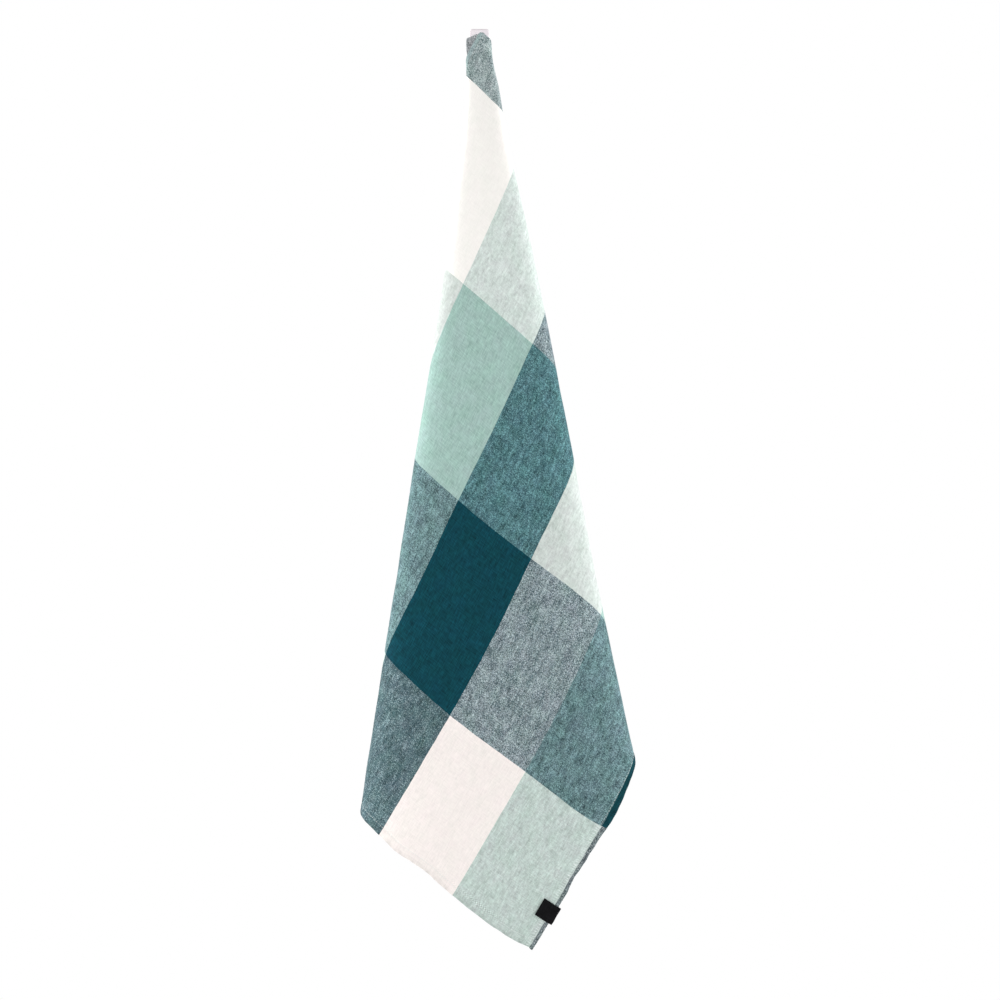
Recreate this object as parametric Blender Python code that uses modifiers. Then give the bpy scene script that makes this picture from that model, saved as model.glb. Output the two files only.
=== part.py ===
"""Checked linen tea towel hanging by one corner from a small wall hook.

Metres, +Z up. The wall is the plane y = 0 and the front of the towel faces -Y.
The origin is the middle of the hook's back plate, on the wall.
"""
import math

import bmesh
import bpy
import numpy as np
from mathutils import Vector

# ---- towel, laid flat: a is measured from the left hem, b from the top hem ----
TOWEL_WIDTH = 0.468
TOWEL_LENGTH = 0.702
CLOTH_THICKNESS = 0.0012

# Where the hung corner is, in front of the hook
CORNER = Vector((0.0005, -0.0270, 0.0195))

# Slant of the threads in the hanging towel. The cross threads run right and down, the
# long threads down and left, and both ease off at the free bottom corner.
CROSS_THREADS = (
    # from left hem, degrees below the level
    (0.000, 35.5),
    (0.014, 37.0),
    (0.035, 44.0),
    (0.070, 40.4),
    (0.200, 39.5),
    (0.420, 39.2),
    (0.445, 33.0),
    (TOWEL_WIDTH, 23.0),
)
LONG_THREADS = (
    # from top hem, degrees from the plumb line
    (0.000, 30.5),
    (0.022, 28.0),
    (0.036, 14.0),
    (0.060, 22.8),
    (0.200, 24.7),
    (0.320, 25.3),
    (0.440, 26.4),
    (0.540, 29.8),
    (0.662, 30.9),
    (TOWEL_LENGTH, 32.3),
)

# Level cuts through the hanging towel, a row for each distance from the hung corner.
# left, right: the outer folds, sideways from the corner.
# lean: how far the front has come forward.  crown: how much more it bulges.
# The rest are depths behind the front: of the outermost line of the left and right
# folds, of the tucked left flap, of the right flap folded behind, and of the part of it
# that turns back again at a third fold, whose sideways place is the last column.
LEVELS = (
    # reach   left     right   lean    crown   l_turn  r_turn  flap    behind  back    back_fold
    (0.000, -0.0134, 0.0098, 0.0000, 0.0000, 0.0020, 0.0040, 0.0040, 0.0080, 0.0130, -0.0118),
    (0.030, -0.0136, 0.0122, 0.0003, 0.0004, 0.0021, 0.0042, 0.0041, 0.0082, 0.0132, -0.0120),
    (0.060, -0.0133, 0.0186, 0.0010, 0.0009, 0.0026, 0.0050, 0.0048, 0.0092, 0.0144, -0.0118),
    (0.100, -0.0165, 0.0252, 0.0022, 0.0015, 0.0038, 0.0062, 0.0066, 0.0112, 0.0166, -0.0138),
    (0.170, -0.0252, 0.0400, 0.0046, 0.0025, 0.0060, 0.0084, 0.0096, 0.0146, 0.0204, -0.0205),
    (0.270, -0.0390, 0.0610, 0.0080, 0.0038, 0.0092, 0.0112, 0.0136, 0.0190, 0.0252, -0.0330),
    (0.400, -0.0592, 0.0862, 0.0122, 0.0054, 0.0134, 0.0146, 0.0186, 0.0244, 0.0314, -0.0500),
    (0.560, -0.0846, 0.1166, 0.0164, 0.0068, 0.0186, 0.0182, 0.0248, 0.0312, 0.0388, -0.0700),
    (0.740, -0.1120, 0.1548, 0.0196, 0.0080, 0.0244, 0.0206, 0.0312, 0.0384, 0.0464, -0.0920),
    (0.940, -0.1425, 0.1970, 0.0220, 0.0086, 0.0306, 0.0240, 0.0376, 0.0450, 0.0530, -0.1160),
)
(REACH, LEFT, RIGHT, LEAN, CROWN, LEFT_TURN, RIGHT_TURN, FLAP, BEHIND, BACK,
 BACK_FOLD) = range(11)

FOLD_TIGHTNESS = 12.0
PLUMB_DIRECTION = math.radians(1.7)
POINTS_PER_RUN = 40
POINTS_TOWARDS_FOLD = 3
THREAD_STEPS = 80

# Mesh of the towel. Columns follow the folds: 0 is the plumb line, -1 the left fold,
# 1 the right fold and 2 the third, with closer columns about each fold. One column
# runs to the bottom corner.
FOLD_PLACES = (-1.0, 1.0, 2.0)
PLACES_AT_FOLDS = (-3.0, -1.0, 0.0, 1.0, 2.0, 4.0)
STEPS_FROM_FOLD = (0.0, 0.014, 0.04, 0.08, 0.14, 0.22, 0.34)
PLACES_BETWEEN = (-2.4, -2.0, -1.65, -0.45, -0.25, -0.08, 0.34, 0.5, 1.5, 2.65, 3.0)
CORNER_PLACE = 0.19
PLACE_SAMPLES = 240
MERGE_DISTANCE = 0.0001
ROWS = 24
ROW_CROWDING = 1.5

# ---- label, folded over the right hem near the bottom corner ----
LABEL_THICKNESS = 0.0010
LABEL_CLEARANCE = 0.0003
LABEL_FROM_CORNER = 0.0310
LABEL_LENGTH = 0.0190
LABEL_FLAP = 0.0150
LABEL_ROWS = 4
LABEL_FLAP_STEPS = 5
LABEL_TURN_STEPS = 6
HEM_PROBE = 0.002

# ---- hanging loop of tape, sewn behind the corner ----
LOOP_THICKNESS = 0.0012
LOOP_WIDTH = 0.0080
LOOP_STEPS = 5
LOOP_FACES_ACROSS = 2
# Middle of the tape, measured from the hung corner; turn is the way its width points,
# in degrees from the wall's normal towards +X.
LOOP_ROUTE = (
    # x         y       z       turn
    (-0.0048, 0.0015, -0.0246, 90.0),
    (-0.0050, 0.0015, -0.0220, 90.0),
    (-0.0064, 0.0028, -0.0192, 88.0),
    (-0.0090, 0.0072, -0.0154, 72.0),
    (-0.0106, 0.0126, -0.0110, 52.0),
    (-0.0088, 0.0164, -0.0070, 30.0),
    (-0.0045, 0.0178, -0.0057, 8.0),
    (0.0000, 0.0180, -0.0062, 0.0),
    (0.0032, 0.0176, -0.0084, -6.0),
    (0.0046, 0.0152, -0.0118, -30.0),
    (0.0040, 0.0108, -0.0146, -60.0),
    (0.0034, 0.0058, -0.0172, -80.0),
    (0.0034, 0.0024, -0.0200, -90.0),
    (0.0034, 0.0015, -0.0220, -90.0),
    (0.0034, 0.0015, -0.0242, -90.0),
)

# ---- wall hook ----
PLATE_WIDTH = 0.021
PLATE_HEIGHT = 0.045
PLATE_THICKNESS = 0.003
PLATE_EDGE = 0.0008
PEG_RADIUS = 0.0022
PEG_SIDE = CORNER.x
PEG_STEPS = 4
PEG_ROUNDING = 3
# Middle of the peg: y from the wall, z from the hung corner
PEG_ROUTE = (
    (-0.0015, -0.0095),
    (-0.0080, -0.0097),
    (-0.0150, -0.0097),
    (-0.0178, -0.0086),
    (-0.0188, -0.0066),
)


def clear_scene():
    for item in list(bpy.data.objects):
        bpy.data.objects.remove(item, do_unlink=True)


def part_collection():
    collection = bpy.data.collections.new("tea_towel_on_wall_hook")
    bpy.context.scene.collection.children.link(collection)
    return collection


def finish_material(name, colour, roughness, metallic=0.0):
    material = bpy.data.materials.new(name)
    material.use_nodes = True
    surface = material.node_tree.nodes["Principled BSDF"]
    surface.inputs["Base Color"].default_value = (*colour, 1.0)
    surface.inputs["Roughness"].default_value = roughness
    surface.inputs["Metallic"].default_value = metallic
    material.diffuse_color = (*colour, 1.0)
    return material


def place(name, mesh, material, collection):
    item = bpy.data.objects.new(name, mesh)
    item.data.materials.append(material)
    collection.objects.link(item)
    return item


# ---- the towel's shape ----

def thread_walk(distance, threads):
    """Run and fall of a thread over some distance from its hem."""
    steps = np.linspace(0.0, distance, THREAD_STEPS + 1)
    middles = 0.5 * (steps[1:] + steps[:-1])
    slant = np.radians(np.interp(middles, *np.transpose(threads)))
    step = distance / THREAD_STEPS
    return step * np.cos(slant).sum(), step * np.sin(slant).sum()


def sheared(a, b):
    """Place (sideways, drop) of a towel point, its threads slanted by the hanging."""
    across, across_drop = thread_walk(a, CROSS_THREADS)
    along_drop, along = thread_walk(b, LONG_THREADS)
    return across - along, across_drop + along_drop


def level_at(reach):
    """The table's row at a distance from the corner, smooth between the given rows."""
    table = np.array(LEVELS)
    slopes = np.gradient(table, table[:, REACH], axis=0)
    upper = int(np.clip(np.searchsorted(table[:, REACH], reach), 1, len(table) - 1))
    lower = upper - 1
    span = table[upper, REACH] - table[lower, REACH]
    t = (reach - table[lower, REACH]) / span
    share = 3 * t ** 2 - 2 * t ** 3
    between = (1.0 - share) * table[lower] + share * table[upper]
    easing = (t ** 3 - 2 * t ** 2 + t) * slopes[lower] + (t ** 3 - t ** 2) * slopes[upper]
    return between + easing * span


def half_run(middle, side, crown=0.0):
    """Points from the flat middle of a run to the fold at its side, both (x, y)."""
    turn = 0.5 * math.pi * np.linspace(0.0, 1.0, POINTS_PER_RUN) ** POINTS_TOWARDS_FOLD
    out = np.sin(turn) ** (2.0 / FOLD_TIGHTNESS)
    x = middle[0] + (side[0] - middle[0]) * out
    y = side[1] + (middle[1] - side[1]) * np.cos(turn) - crown * (1.0 - out * out)
    return np.column_stack((x, y))


def cut_at(reach):
    """One level cut: its points (x, y, z), the cloth length along it from the plumb
    line, and that length at each of its three folds."""
    row = level_at(reach)
    front = -row[LEAN]
    flap, behind, back = front + row[FLAP], front + row[BEHIND], front + row[BACK]
    middle = 0.5 * (row[LEFT] + row[RIGHT])
    left_fold = (row[LEFT], front + row[LEFT_TURN])
    right_fold = (row[RIGHT], front + row[RIGHT_TURN])
    back_fold = (row[BACK_FOLD], 0.5 * (behind + back))
    flap_end = (middle + row[RIGHT], flap)
    back_end = (middle + 2.0 * row[RIGHT], back)
    runs = (
        np.array([flap_end]),
        half_run((middle, flap), left_fold),
        half_run((middle, front), left_fold, row[CROWN])[::-1][1:],
        half_run((middle, front), right_fold, row[CROWN])[1:],
        half_run((middle, behind), right_fold)[::-1][1:],
        half_run((middle, behind), back_fold)[1:],
        half_run((middle, back), back_fold)[::-1][1:],
        np.array([back_end]),
    )
    run_ends = np.cumsum([len(run) for run in runs]) - 1
    left, right, third = run_ends[1], run_ends[3], run_ends[5]
    plan = np.vstack(runs)
    drop = np.sqrt(np.maximum(reach ** 2 - (plan ** 2).sum(axis=1), 0.0))
    points = np.column_stack((plan, -drop))
    steps = np.linalg.norm(np.diff(points, axis=0), axis=1)
    length = np.concatenate(((0.0,), np.cumsum(steps)))
    plumb_x = reach * math.sin(PLUMB_DIRECTION)
    length -= np.interp(plumb_x, points[left:right, 0], length[left:right])
    return points, length, length[[left, right, third]]


def flat_to_cut(a, b):
    """Distance of a flat towel point from the hung corner, and its place on the cut."""
    sideways, drop = sheared(a, b)
    reach = math.hypot(sideways, drop)
    return reach, reach * (math.atan2(sideways, drop) - PLUMB_DIRECTION)


def towel_point(a, b):
    """Where a point of the flat towel lies on the hanging towel's middle surface."""
    reach, along = flat_to_cut(a, b)
    if reach == 0.0:
        return CORNER.copy()
    points, length, _ = cut_at(reach)
    offset = Vector([np.interp(along, length, points[:, axis]) for axis in range(3)])
    return CORNER + offset


def fold_place(a, b):
    """Place of a flat towel point among the folds, on the scale of the columns."""
    reach, along = flat_to_cut(a, b)
    left, right, third = cut_at(reach)[2]
    front = right - left
    lengths = (left - front, left, 0.0, right, third, third + front)
    return float(np.interp(along, lengths, PLACES_AT_FOLDS))


def column_places():
    places = set(PLACES_BETWEEN)
    for fold in FOLD_PLACES:
        for step in STEPS_FROM_FOLD:
            places.update((round(fold - step, 3), round(fold + step, 3)))
    return sorted(places | {CORNER_PLACE})


def hem_point(way):
    """Flat (a, b) at a share of the way along the bottom hem and up the right hem."""
    walked = way * (TOWEL_WIDTH + TOWEL_LENGTH)
    if walked <= TOWEL_WIDTH:
        return walked, TOWEL_LENGTH
    return TOWEL_WIDTH, TOWEL_WIDTH + TOWEL_LENGTH - walked


def row_points(share, places):
    """Flat points of one mesh row, a share of the way from the corner to the hems."""
    corner_way = TOWEL_WIDTH / (TOWEL_WIDTH + TOWEL_LENGTH)
    ways = np.linspace(0.0, 1.0, PLACE_SAMPLES)
    found = [fold_place(*(share * value for value in hem_point(way))) for way in ways]
    row = np.interp(places, found, ways)
    row[0], row[-1] = 0.0, 1.0
    row[places.index(CORNER_PLACE)] = corner_way
    return [tuple(share * value for value in hem_point(way)) for way in row]


def solidify(item, thickness):
    shell = item.modifiers.new("thickness", "SOLIDIFY")
    shell.thickness = thickness
    shell.offset = 0.0


def build_towel(collection):
    places = column_places()
    columns = len(places) - 1
    rows = [row_points((row / ROWS) ** ROW_CROWDING, places) for row in range(ROWS + 1)]
    mesh = bpy.data.meshes.new("towel_cloth")
    bm = bmesh.new()
    bmesh.ops.create_grid(bm, x_segments=columns, y_segments=ROWS, size=1.0)
    for vert in bm.verts:
        column = round((vert.co.x + 1.0) / 2.0 * columns)
        row = round((vert.co.y + 1.0) / 2.0 * ROWS)
        vert.co = towel_point(*rows[row][column])
    bmesh.ops.remove_doubles(bm, verts=bm.verts, dist=MERGE_DISTANCE)
    bmesh.ops.triangulate(bm, faces=bm.faces, quad_method="SHORT_EDGE")
    bmesh.ops.recalc_face_normals(bm, faces=bm.faces)
    bm.to_mesh(mesh)
    bm.free()
    mesh.shade_smooth()
    linen = finish_material("checked_linen", (0.22, 0.36, 0.37), 0.9)
    towel = place("towel_cloth", mesh, linen, collection)
    solidify(towel, CLOTH_THICKNESS)


def hem_frame(b):
    """Edge point on the right hem with its outward and front-facing directions."""
    edge = towel_point(TOWEL_WIDTH, b)
    outward = (edge - towel_point(TOWEL_WIDTH - HEM_PROBE, b)).normalized()
    above = towel_point(TOWEL_WIDTH, b - HEM_PROBE)
    below = towel_point(TOWEL_WIDTH, b + HEM_PROBE)
    front = (below - above).cross(outward).normalized()
    if front.y > 0.0:
        front.negate()
    return edge, outward, front


def label_profile():
    """Label section from front to back flap: how far in from the hem, and its turn."""
    profile = []
    for step in range(LABEL_FLAP_STEPS):
        profile.append((LABEL_FLAP * (1.0 - step / LABEL_FLAP_STEPS), 0.0))
    for step in range(LABEL_TURN_STEPS + 1):
        profile.append((0.0, math.pi * step / LABEL_TURN_STEPS))
    for step in range(1, LABEL_FLAP_STEPS + 1):
        profile.append((LABEL_FLAP * step / LABEL_FLAP_STEPS, math.pi))
    return profile


def build_label(collection):
    stand_off = 0.5 * CLOTH_THICKNESS + LABEL_CLEARANCE + 0.5 * LABEL_THICKNESS
    profile = label_profile()
    mesh = bpy.data.meshes.new("side_label")
    bm = bmesh.new()
    bmesh.ops.create_grid(bm, x_segments=len(profile) - 1, y_segments=LABEL_ROWS, size=1.0)
    for vert in bm.verts:
        column = round((vert.co.x + 1.0) / 2.0 * (len(profile) - 1))
        row = (vert.co.y + 1.0) / 2.0
        b = TOWEL_LENGTH - LABEL_FROM_CORNER - LABEL_LENGTH * row
        inward, turn = profile[column]
        edge, outward, front = hem_frame(b)
        base = towel_point(TOWEL_WIDTH - inward, b)
        vert.co = base + stand_off * (math.cos(turn) * front + math.sin(turn) * outward)
    bmesh.ops.recalc_face_normals(bm, faces=bm.faces)
    bm.to_mesh(mesh)
    bm.free()
    black = finish_material("black_label", (0.012, 0.012, 0.013), 0.8)
    label = place("side_label", mesh, black, collection)
    solidify(label, LABEL_THICKNESS)


def smooth_route(rows, steps):
    """Points of a smooth curve through the rows, with some steps between each two."""
    table = np.array(rows)
    padded = np.vstack((2 * table[0] - table[1], table, 2 * table[-1] - table[-2]))
    route = []
    for index in range(len(table) - 1):
        before, start, end, after = padded[index:index + 4]
        for step in range(steps):
            t = step / steps
            route.append(0.5 * (2 * start + (end - before) * t
                                + (2 * before - 5 * start + 4 * end - after) * t ** 2
                                + (3 * start - 3 * end + after - before) * t ** 3))
    route.append(table[-1])
    return route


def build_loop(collection):
    route = smooth_route(LOOP_ROUTE, LOOP_STEPS)
    last = len(route) - 1
    mesh = bpy.data.meshes.new("hanging_loop")
    bm = bmesh.new()
    bmesh.ops.create_grid(bm, x_segments=last, y_segments=LOOP_FACES_ACROSS, size=1.0)
    for vert in bm.verts:
        index = round((vert.co.x + 1.0) / 2.0 * last)
        side = vert.co.y
        ahead = Vector(route[min(index + 1, last)][:3])
        astern = Vector(route[max(index - 1, 0)][:3])
        forward = (ahead - astern).normalized()
        turn = math.radians(route[index][3])
        width = Vector((math.sin(turn), math.cos(turn), 0.0))
        width = (width - width.dot(forward) * forward).normalized()
        vert.co = CORNER + Vector(route[index][:3]) + 0.5 * LOOP_WIDTH * side * width
    bmesh.ops.recalc_face_normals(bm, faces=bm.faces)
    bm.to_mesh(mesh)
    bm.free()
    mesh.shade_smooth()
    tape = finish_material("loop_tape", (0.30, 0.34, 0.35), 0.9)
    loop = place("hanging_loop", mesh, tape, collection)
    solidify(loop, LOOP_THICKNESS)


def build_peg(collection, material):
    curve = bpy.data.curves.new("hook_peg", "CURVE")
    curve.dimensions = "3D"
    curve.bevel_depth = PEG_RADIUS
    curve.bevel_resolution = PEG_ROUNDING
    curve.use_fill_caps = True
    route = smooth_route(PEG_ROUTE, PEG_STEPS)
    spline = curve.splines.new("POLY")
    spline.points.add(len(route) - 1)
    for point, (y, z) in zip(spline.points, route):
        point.co = (PEG_SIDE, y, CORNER.z + z, 1.0)
    rod = bpy.data.objects.new("hook_peg", curve)
    collection.objects.link(rod)
    bpy.context.view_layer.update()
    evaluated = rod.evaluated_get(bpy.context.evaluated_depsgraph_get())
    mesh = bpy.data.meshes.new_from_object(evaluated)
    bm = bmesh.new()
    bm.from_mesh(mesh)
    bmesh.ops.remove_doubles(bm, verts=bm.verts, dist=MERGE_DISTANCE)
    bmesh.ops.recalc_face_normals(bm, faces=bm.faces)
    bm.to_mesh(mesh)
    bm.free()
    bpy.data.objects.remove(rod, do_unlink=True)
    peg = place("hook_peg_tool", mesh, material, collection)
    peg.hide_render = True
    peg.display_type = "WIRE"
    return peg


def build_hook(collection, tools):
    plastic = finish_material("white_plastic", (0.88, 0.85, 0.86), 0.35)
    bpy.ops.mesh.primitive_cube_add(size=1.0)
    hook = bpy.context.active_object
    hook.name = "wall_hook"
    hook.data.name = "wall_hook"
    for vert in hook.data.vertices:
        vert.co.x *= PLATE_WIDTH
        vert.co.y = (vert.co.y - 0.5) * PLATE_THICKNESS
        vert.co.z *= PLATE_HEIGHT
    for other in list(hook.users_collection):
        other.objects.unlink(hook)
    collection.objects.link(hook)
    hook.data.materials.append(plastic)
    rounding = hook.modifiers.new("rounded_edges", "BEVEL")
    rounding.width = PLATE_EDGE
    rounding.segments = 2
    joined = hook.modifiers.new("peg", "BOOLEAN")
    joined.operation = "UNION"
    joined.solver = "EXACT"
    joined.object = build_peg(tools, plastic)


def main():
    clear_scene()
    collection = part_collection()
    tools = bpy.data.collections.new("tools")
    bpy.context.scene.collection.children.link(tools)
    build_towel(collection)
    build_label(collection)
    build_loop(collection)
    build_hook(collection, tools)


main()
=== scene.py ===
"""Looks for a checked linen tea towel that hangs by one corner from a small wall hook.

Metres, +Z up. The wall is the plane y = 0 and the front of the towel faces -Y.
Flat towel places are (a, b): a from the left hem, b from the top hem. They are also the
towel's UV map, in metres, so that checks, weave and hems follow the cloth.
"""
import math

import bpy
import numpy as np
from mathutils import Matrix, Vector, noise


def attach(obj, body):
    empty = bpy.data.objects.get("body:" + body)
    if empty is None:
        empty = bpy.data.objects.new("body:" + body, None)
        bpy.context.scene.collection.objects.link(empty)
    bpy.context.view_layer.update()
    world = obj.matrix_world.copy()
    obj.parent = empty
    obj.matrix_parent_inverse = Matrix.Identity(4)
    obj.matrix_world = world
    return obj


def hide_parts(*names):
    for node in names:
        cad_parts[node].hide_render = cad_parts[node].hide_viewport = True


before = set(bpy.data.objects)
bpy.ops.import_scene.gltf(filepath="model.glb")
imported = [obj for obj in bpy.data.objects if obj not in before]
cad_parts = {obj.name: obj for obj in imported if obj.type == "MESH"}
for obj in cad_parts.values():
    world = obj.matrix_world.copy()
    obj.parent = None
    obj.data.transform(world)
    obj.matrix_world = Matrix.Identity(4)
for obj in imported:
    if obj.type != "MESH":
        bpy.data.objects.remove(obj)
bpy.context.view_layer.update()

# ---- towel: sizes, and the shape in which it hangs ----
TOWEL_WIDTH = 0.468
TOWEL_LENGTH = 0.702
CORNER = Vector((0.0005, -0.0270, 0.0195))

# Slant of the threads: cross threads run right and down, long threads down and left.
CROSS_THREADS = (
    # from left hem, degrees below the level
    (0.000, 31.0),
    (0.014, 41.0),
    (0.035, 42.5),
    (0.070, 40.4),
    (0.200, 39.5),
    (0.420, 39.2),
    (0.445, 33.0),
    (TOWEL_WIDTH, 23.0),
)
LONG_THREADS = (
    # from top hem, degrees from the plumb line
    (0.000, 30.5),
    (0.022, 28.0),
    (0.036, 14.0),
    (0.060, 22.8),
    (0.200, 24.7),
    (0.320, 25.3),
    (0.440, 26.4),
    (0.540, 29.8),
    (0.662, 30.9),
    (TOWEL_LENGTH, 32.3),
)

# Level cuts through the hanging towel, a row for each distance from the hung corner.
# left, right: the outer folds, sideways from the corner.
# lean: how far the front has come forward.  crown: how much more it bulges.
# The rest are depths behind the front: of the outermost line of the left and right
# folds, of the tucked left flap, of the right flap folded behind, and of the part of it
# that turns back again at a third fold, whose sideways place is the last column.
LEVELS = (
    # reach   left     right   lean    crown   l_turn  r_turn  flap    behind  back    back_fold
    (0.000, -0.0134, 0.0098, 0.0000, 0.0000, 0.0020, 0.0040, 0.0040, 0.0080, 0.0130, -0.0118),
    (0.030, -0.0136, 0.0122, 0.0003, 0.0004, 0.0021, 0.0042, 0.0041, 0.0082, 0.0132, -0.0120),
    (0.060, -0.0133, 0.0186, 0.0010, 0.0009, 0.0026, 0.0050, 0.0048, 0.0092, 0.0144, -0.0118),
    (0.100, -0.0165, 0.0252, 0.0022, 0.0015, 0.0038, 0.0062, 0.0066, 0.0112, 0.0166, -0.0138),
    (0.170, -0.0252, 0.0400, 0.0046, 0.0025, 0.0060, 0.0084, 0.0096, 0.0146, 0.0204, -0.0205),
    (0.270, -0.0390, 0.0610, 0.0080, 0.0038, 0.0092, 0.0112, 0.0136, 0.0190, 0.0252, -0.0330),
    (0.400, -0.0592, 0.0862, 0.0122, 0.0054, 0.0134, 0.0146, 0.0186, 0.0244, 0.0314, -0.0500),
    (0.560, -0.0846, 0.1166, 0.0164, 0.0068, 0.0186, 0.0182, 0.0248, 0.0312, 0.0388, -0.0700),
    (0.740, -0.1120, 0.1540, 0.0196, 0.0080, 0.0244, 0.0206, 0.0312, 0.0384, 0.0464, -0.0920),
    (0.940, -0.1425, 0.1970, 0.0220, 0.0086, 0.0306, 0.0240, 0.0376, 0.0450, 0.0530, -0.1160),
)
(REACH, LEFT, RIGHT, LEAN, CROWN, LEFT_TURN, RIGHT_TURN, FLAP, BEHIND, BACK,
 BACK_FOLD) = range(11)
FOLD_TIGHTNESS = 12.0
LEFT_TIGHTNESS = 6.5
RIGHT_TIGHTNESS = 5.4
PLUMB_DIRECTION = math.radians(1.7)
POINTS_PER_RUN = 40
POINTS_TOWARDS_FOLD = 3
CUT_STEP = 0.002
CUT_COUNT = 456
THREAD_STEPS = 2000

# ---- cloth: thickness, hems and unevenness ----
CLOTH_THICKNESS = 0.0007
HEM_THICKNESS = 0.0015
SIDE_HEM = 0.0060
END_HEM = 0.0098
# Mesh lines across a hem, and its seam, as shares of the hem's width
HEM_STEPS = (0.0, 0.06, 0.18, 0.35, 0.56, 0.73, 0.84, 0.97, 1.05, 1.20, 1.45)
SEAM_PLACE = 0.84
GRID_STEP = 0.0028
HEM_SHIFT = 0.00030
SEAM_DIP = 0.00022
SEAM_DIP_REACH = 0.10
PUCKER_PITCH = 0.0105
PUCKER_HEIGHT = 0.00030
PUCKER_REACH = 0.75
PUCKER_WANDER = 2.5
PUCKER_WANDER_SIZE = 0.02
# How far stitches pinch the seam, and how far the hem's edge is pressed thinner
SEAM_PINCH, SEAM_PINCH_REACH = 0.45, 0.09
EDGE_PINCH, EDGE_PINCH_REACH = 0.45, 0.175
# Distances from the hung corner over which the cloth's and the hems' relief comes up
CLOTH_CALM = (0.0275, 0.11)
HEM_CALM = (0.01, 0.05)
# Steps for normals, and how far from the cloth's edges these are taken
NORMAL_PROBE = 0.0008
NORMAL_MARGIN = 0.0010
UNEVENNESS = (
    # height, size along a, size along b, shift of the pattern
    (0.00085, 0.060, 0.110, 3.7),
    (0.00035, 0.022, 0.034, 11.2),
)
CREASES = (
    # from a   from b   to a     to b     width    height
    (0.0660, 0.0960, 0.0660, 0.1220, 0.0024, -0.00035),
    (0.0500, 0.1180, 0.0490, 0.1400, 0.0026, -0.00030),
    (0.0300, 0.0500, 0.1200, 0.2000, 0.0120, 0.00090),
    (0.2180, 0.3200, 0.2300, 0.5200, 0.0140, 0.00070),
    (0.3300, 0.4000, 0.3380, 0.5500, 0.0110, -0.00060),
    (0.3950, 0.5600, 0.4120, 0.6900, 0.0100, 0.00070),
    (0.2500, 0.5400, 0.2700, 0.7000, 0.0130, -0.00060),
)
# Waves that sewing left in the right hem and in the bottom hem
RIGHT_WAVES = (
    # place   size    outwards
    (0.5400, 0.027, 0.0031),
    (0.6160, 0.012, -0.0012),
)
BOTTOM_WAVES = (
    (0.2980, 0.016, 0.0022),
    (0.3370, 0.015, -0.0014),
)
RIGHT_WAVE_DEPTH = 0.0060
BOTTOM_WAVE_DEPTH = 0.0300
HEM_WANDER = 0.0005
WANDER_SIZE = 0.0085
# The bottom corner: a small tail of thread ends, and the cloth beside it drawn up
TAIL_LENGTH = 0.0012
TAIL_WIDTH = 0.0045
TAIL_REACH = 0.0060
CORNER_LIFT = 0.0034
LIFT_FROM_A, LIFT_FROM_B = 0.390, 0.600
# The hung corner is blunt: its tip is drawn in, and the cloth beside it stands up
TIP_DRAW = 0.0005
TIP_SIZE = 0.0035
SHOULDER_RISE = 0.0011
SHOULDER_REACH = 0.0042
SHOULDER_SIZE = 0.0024
# Cloth beyond the hems' own lines that waves and the tail may use
SPARE_LENGTH = 0.0060

# ---- checks: thread colours from the left hem and from the top hem ----
LONG_STRIPES = (
    (0.000, "white"), (0.0036, "white"), (0.090, "mint"), (0.183, "teal"),
    (0.276, "white"), (0.369, "mint"), (0.4634, "shaded teal"),
)
CROSS_STRIPES = (
    (0.0000, "green teal"), (0.0435, "white"), (0.2149, "mint"), (0.3863, "teal"),
    (0.5577, "warm white"),
)
# Washed threads wander a little off straight: places in the cloth, and by how much
THREAD_DRIFT = (
    # a       b       along a  along b
    (0.0150, 0.0440, 0.0000, 0.0028),
    (0.0520, 0.0440, 0.0000, 0.0042),
    (0.0898, 0.2127, -0.0002, -0.0022),
    (0.1811, 0.2143, -0.0019, -0.0006),
    (0.1250, 0.3860, 0.0000, -0.0003),
    (0.1807, 0.3879, -0.0023, 0.0016),
    (0.2746, 0.3865, -0.0014, 0.0002),
    (0.3675, 0.3824, -0.0015, -0.0039),
    (0.2755, 0.5628, -0.0005, 0.0051),
    (0.3703, 0.5587, 0.0013, 0.0010),
    (0.4640, 0.5570, 0.0005, -0.0007),
    (0.2750, 0.7020, -0.0010, 0.0000),
    (0.3708, 0.7020, 0.0018, 0.0000),
)
DRIFT_SIZE = 0.080
YARN_COLOURS = {
    "white": (0.905, 0.884, 0.848),
    "warm white": (0.872, 0.790, 0.760),
    "mint": (0.345, 0.503, 0.460),
    "green teal": (0.0034, 0.0610, 0.0710),
    "teal": (0.0030, 0.0500, 0.0690),
    # teal of the narrow last stripe at the right hem, darkened as painted shade, and less blue
    "shaded teal": (0.0034, 0.0380, 0.0440),
}
# How much of the long threads shows, for each cross stripe in each long stripe
LONG_SHARES = (
    (0.62, 0.46, 0.44, 0.50, 0.305, 0.405, 0.50),
    (0.50, 0.50, 0.44, 0.75, 0.500, 0.870, 0.80),
    (0.95, 0.95, 0.51, 0.80, 0.740, 0.500, 0.78),
    (0.31, 0.31, 0.45, 0.50, 0.255, 0.370, 0.50),
    (0.415, 0.415, 0.70, 0.98, 0.400, 0.930, 0.86),
)
# Checks darkened as painted shade where they lie in less light, and tinted: (row, column),
# and the factor as red, green and blue of one check alone
CHECK_SHADE_AND_TINT = {
    (2, 0): (0.88, 0.88, 0.88),
    (2, 1): (0.88, 0.88, 0.88),
    (2, 3): (0.88, 1.09, 1.08),
    (2, 4): (0.885, 0.885, 0.885),
    (4, 3): (0.81, 0.875, 0.835),
    (4, 4): (0.985, 0.985, 0.985),
}
PLAIN_TONE = (1.0, 1.0, 1.0)
THREAD_PITCH = 0.00062
# How much more of a thread shows where it lies on top
CROSSING_SHARE = 0.35
# Light that passes from one thread into the other where they cross, and the more of it
# that passes in pale checks
THREAD_GLOW = 0.33
PALE_GLOW = 0.30
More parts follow.
